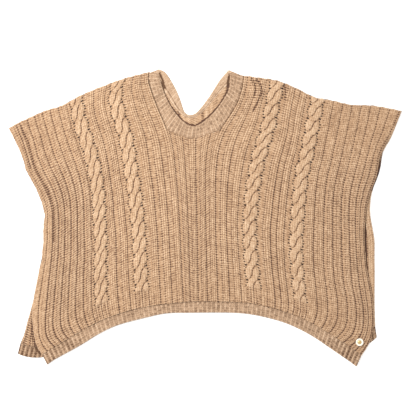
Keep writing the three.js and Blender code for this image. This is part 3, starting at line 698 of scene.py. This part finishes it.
def band(name, upper, lower, level, base, rise, depth, holes=0.0, seam_highlight=0.0, tint=0.0,
         ribs=0.16, corners=0.0, groove_shade=0.0, seam_shade=0.0):
    """A rib band between two edges, each a run of plan points in mm.

    Holes is the painted shade in the linking holes at its upper edge, seam_highlight the painted
    highlight on the ridge along the lower edge, and tint how light the whole band is. Ribs and
    corners are how dark the painted shade in the folds between its ribs is, in all and more towards
    its ends; groove_shade and seam_shade are how dark the painted shade in the line before the
    lower edge and at the lower edge itself is. The rib crowns are painted lighter, as painted
    highlight.
    """
    length = float(np.sum(np.hypot(*np.diff(np.asarray(lower, float), axis=0).T)))
    count = round(length / BAND_PITCH)
    f = np.linspace(0, 1, 16 * count + 1)
    a, b = along(upper, f), along(lower, f)
    key = np.linspace(0, 1, 25)
    side = np.interp(key, [0, 0.05, 0.1, 0.15, 0.82, 0.9, 0.95, 1],
                     [0.35, 0.8, 0.95, 1, 1, 0.9, 0.75, 0.35])
    flush = np.interp(key, [0, 0.15, 0.82, 0.9, 0.95, 1], [0.95, 1, 1, 0.9, 0.75, 0.35])
    spot = np.interp(key, [0, 0.05, 0.1, 0.15], [0.2, 1, 1, 0])
    last = np.interp(key, [0.7, 0.82, 0.9, 0.95, 1], [0, 0.4, 1, 1, 0.6])
    groove_shade_line = groove_shade * np.exp(-((key - 0.72) / 0.05) ** 2)
    outer = []
    for n, share in enumerate(f):
        xy = a[n] + key[:, None] * (b[n] - a[n]) + np.array(SHIFT)
        wave = 0.5 - 0.5 * math.cos(2 * math.pi * share * count)
        ends = step(0, 0.01, min(share, 1 - share))
        corner = (holes > 0) * step(0.24, 0.38, abs(share - 0.5))
        thick = (base + rise * wave * ends) * (side + corner * (flush - side))
        z = level(xy[:, 0], xy[:, 1]) + thick
        ones = np.ones(len(key))
        # Painted shadow where the front's edge stands over a band on the floor, and painted shade
        # in the folds between the ribs, in the line before the lower edge and at the lower edge.
        dark = shaded(xy[:, 0], xy[:, 1]) * (level is floor_level)
        fold = (ribs + corners * step(0.3, 0.5, abs(share - 0.5))) * (1 - wave) ** 2
        dark = dark + groove_shade_line + seam_shade * step(0.93, 1, key) * step(0.1, 0.3, abs(share - 0.5))
        # Painted highlight: the rib crowns are painted paler, and the ridge along the lower edge
        # too.
        outer.append({"s": 2 * count * share, "key": key, "point": np.column_stack([xy, z]),
                      "chart": np.column_stack([2 * count * share * ones + 0.5, key * depth / ROW,
                                                0 * ones]),
                      "form": np.column_stack([fold + dark,
                                               holes * spot * max(0, 1 - 3 * wave)
                                               * (1 - 0.85 * corner),
                                               tint + 0.45 * wave + seam_highlight * last])})
    inner = []
    for c in outer[::8]:
        point = np.array([c["point"][0], c["point"][-1]])
        point[:, 2] = level(point[:, 0], point[:, 1])
        inner.append({"s": c["s"], "key": np.array([0.0, 1.0]), "point": point,
                      "chart": c["chart"][[0, -1]], "form": c["form"][[6, 6]] * [1, 0, 1]})
    piece = cloth_piece(name, outer, inner, band_knit)
    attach(piece, "root")
    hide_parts(name)
    return piece, length / 1000


def moved(path, d):
    """A run of points moved sideways, to the left of its direction."""
    p = np.asarray(path, float)
    t = np.gradient(p, axis=0)
    t /= np.hypot(*t.T)[:, None]
    return p + d * np.column_stack([-t[:, 1], t[:, 0]])


side_keys = np.linspace(0, NECK[2], 12)
seam = np.vstack([cloth(79, side_keys), *(cloth(s, np.array([NECK[2]])) for s in range(80, 98)),
                  cloth(98, side_keys)[::-1]]) - np.array(SHIFT)
neck_front, run = band("neckband_front", eased(NECK_EDGE), moved(seam, 0.4), lift, BAND_WALL,
                       BAND_RISE, 24, seam_shade=0.4, tint=-0.4)
back_seam = np.vstack([back_cloth(s, np.array([0.0])) for s in np.arange(79, 98.1, 0.5)])
back_seam = back_seam - np.array(SHIFT)
# The back neckband's lower ridge gets a painted highlight and the line before it painted shade.
neck_back, run = band("neckband_back", eased(BACK_NECK_EDGE), moved(back_seam, 0.05), floor_level,
                      2.2, 0.3, 20, seam_highlight=1.2, tint=0.4, ribs=0.05, groove_shade=0.5)

# Hem bands: one-by-one rib strips of the same yarn, about 27 mm deep, knitted on below the
# panels. The front one meets its panel in a row of small holes that fades out at the corners.
HEM_EDGE = [
    (-411, -380), (-394, -367), (-326, -331), (-272, -296), (-225, -275), (-165, -260),
    (-103, -245), (-40, -245), (43, -244), (105, -246), (168, -259), (217, -274), (277, -304),
    (334, -344), (380, -375), (392, -385)]
BACK_HEM_EDGE = [
    (-488, -351), (-479, -356), (-455, -362), (-421, -362), (-378, -343), (-326, -320),
    (-272, -285), (-225, -266), (-165, -251), (-103, -239), (-40, -237), (43, -237),
    (105, -239), (168, -253), (217, -265), (277, -295), (334, -332), (389, -342), (430, -323),
    (445, -309)]
hem_seam = np.vstack([cloth(s, np.array([1.0])) for s in range(0, 178)]) - np.array(SHIFT)
# The hem bands' linking holes and rib folds are painted dark, as painted shade.
hem_front, run = band("hem_band_front", moved(hem_seam, -0.1), eased(HEM_EDGE), lift, BAND_WALL,
                      BAND_RISE, 27, holes=1.0, tint=-0.7, corners=0.25)
back_hem = np.vstack([back_cloth(s, np.array([1.0])) for s in range(0, 178)]) - np.array(SHIFT)
hem_back, run = band("hem_band_back", moved(back_hem, -0.05), eased(BACK_HEM_EDGE), floor_level,
                     1.7, 1.2, 27, tint=-1.5, corners=0.3)

# Button: a round cream polyester disc with a raised rim and a plain gold-plated middle, sewn flat
# to the lower right corner of the front.
BUTTON = (400.5, -323.0, 9.4)  # mm: centre and underside
DISC = [(0, 0), (9, 0), (9.7, 0.3), (10, 1), (10, 2.2), (9.7, 2.9), (9, 3.2), (7.2, 3.2),
        (6.4, 2.9), (6, 2.5), (0, 2.5)]
BOSS = [(0, 2.8), (4.4, 2.8), (4.6, 3.0), (4.6, 3.4), (4.2, 3.9), (3.0, 4.2), (0, 4.3)]


def turned(name, profile, material, node_name):
    """A lathed solid about the button's own axis."""
    sides = 64
    verts, faces = [], []
    for r, z in profile[1:-1]:
        for k in range(sides):
            a = 2 * math.pi * k / sides
            verts.append((r * math.cos(a), r * math.sin(a), z))
    rings = len(profile) - 2
    for i in range(rings - 1):
        for k in range(sides):
            j = (k + 1) % sides
            faces.append((i * sides + k, i * sides + j, (i + 1) * sides + j, (i + 1) * sides + k))
    faces.append(tuple(range(sides - 1, -1, -1)))
    faces.append(tuple((rings - 1) * sides + k for k in range(sides)))
    verts = (np.array(verts) + np.array(BUTTON)) / 1000
    mesh = bpy.data.meshes.new(name)
    mesh.from_pydata(verts.tolist(), [], faces)
    mesh.shade_smooth()
    mesh.materials.append(material)
    piece = bpy.data.objects.new(name, mesh)
    bpy.context.scene.collection.objects.link(piece)
    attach(piece, "root")
    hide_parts(node_name)
    return piece


# Cast polyester, polished: a glossy cream with faint milky clouds, a few millimetres across.
cream = bpy.data.materials.new("cream_polyester")
cream.use_nodes = True
t = cream.node_tree
cloud = node(t, "ShaderNodeTexNoise", [("Vector", node(t, "ShaderNodeTexCoord")["Object"])],
             Scale=260.0, Detail=2.0)["Fac"]
tint = t.nodes.new("ShaderNodeMix")
tint.data_type = "RGBA"
t.links.new(cloud, tint.inputs["Factor"])
tint.inputs[6].default_value = linear("efe6d6")
tint.inputs[7].default_value = linear("fffaf0")
t.links.new(tint.outputs[2], t.nodes["Principled BSDF"].inputs["Base Color"])
t.nodes["Principled BSDF"].inputs["Roughness"].default_value = 0.22
t.nodes["Principled BSDF"].inputs["IOR"].default_value = 1.55
turned("button", DISC, cream, "button")

# Gold-plated brass, stamped and tumbled: a soft gleam that the fine wear breaks up.
gold = bpy.data.materials.new("gold_plated_brass")
gold.use_nodes = True
t = gold.node_tree
wear = node(t, "ShaderNodeTexNoise", [("Vector", node(t, "ShaderNodeTexCoord")["Object"])],
            Scale=900.0, Detail=3.0)["Fac"]
t.nodes["Principled BSDF"].inputs["Base Color"].default_value = linear("dcbd80")
t.nodes["Principled BSDF"].inputs["Metallic"].default_value = 1.0
t.links.new(math_node(t, "MULTIPLY_ADD", wear, 0.2, 0.25),
            t.nodes["Principled BSDF"].inputs["Roughness"])
turned("button_boss", BOSS, gold, "button_boss")

# Floor: plain matt white studio board, wide enough that its edge never shows. A slight glow
# keeps it as white as paper round the garment.
mesh = bpy.data.meshes.new("floor")
mesh.from_pydata([(-6, -6, 0), (6, -6, 0), (6, 6, 0), (-6, 6, 0)], [], [(0, 1, 2, 3)])
floor = bpy.data.objects.new("floor", mesh)
bpy.context.scene.collection.objects.link(floor)
board = bpy.data.materials.new("white_board")
board.use_nodes = True
board.node_tree.nodes["Principled BSDF"].inputs["Base Color"].default_value = (0.95, 0.95, 0.95, 1)
board.node_tree.nodes["Principled BSDF"].inputs["Emission Color"].default_value = (1.0, 1.0, 1.0, 1)
board.node_tree.nodes["Principled BSDF"].inputs["Emission Strength"].default_value = 0.3
board.node_tree.nodes["Principled BSDF"].inputs["Roughness"].default_value = 0.9
mesh.materials.append(board)
floor.location.z = -0.0005

# Light: a pale studio surround, with one large soft lamp from the photo's upper left.
world = bpy.data.worlds.new("studio")
bpy.context.scene.world = world
world.use_nodes = True
world.node_tree.nodes["Background"].inputs["Color"].default_value = (1.0, 0.985, 0.965, 1)
world.node_tree.nodes["Background"].inputs["Strength"].default_value = 0.86
for name, place, size, power in (("key", (-1.5, 0.9, 2.1), 0.9, 58.0),
                                 ("fill", (1.8, -0.8, 2.8), 1.6, 2.0)):
    lamp = bpy.data.lights.new(name, "AREA")
    lamp.shape = "DISK"
    lamp.size = size
    lamp.energy = power
    lamp.color = (1.0, 0.97, 0.93)
    held = bpy.data.objects.new(name, lamp)
    held.location = place
    aim = np.array([0, 0, 0]) - np.array(place)
    held.rotation_euler = (math.atan2(math.hypot(aim[0], aim[1]), -aim[2]), 0,
                           math.atan2(aim[1], aim[0]) - math.pi / 2)
    bpy.context.scene.collection.objects.link(held)

# Camera: a long lens looking straight down, as in the photo.
lens = bpy.data.cameras.new("camera")
lens.sensor_width = 36.0
lens.lens = 36.0 * 6.0 / 1.0816
camera = bpy.data.objects.new("camera", lens)
camera.location = (0.007, 0.0253, 6.0)
bpy.context.scene.collection.objects.link(camera)
bpy.context.scene.camera = camera
bpy.context.scene.view_settings.view_transform = "Standard"
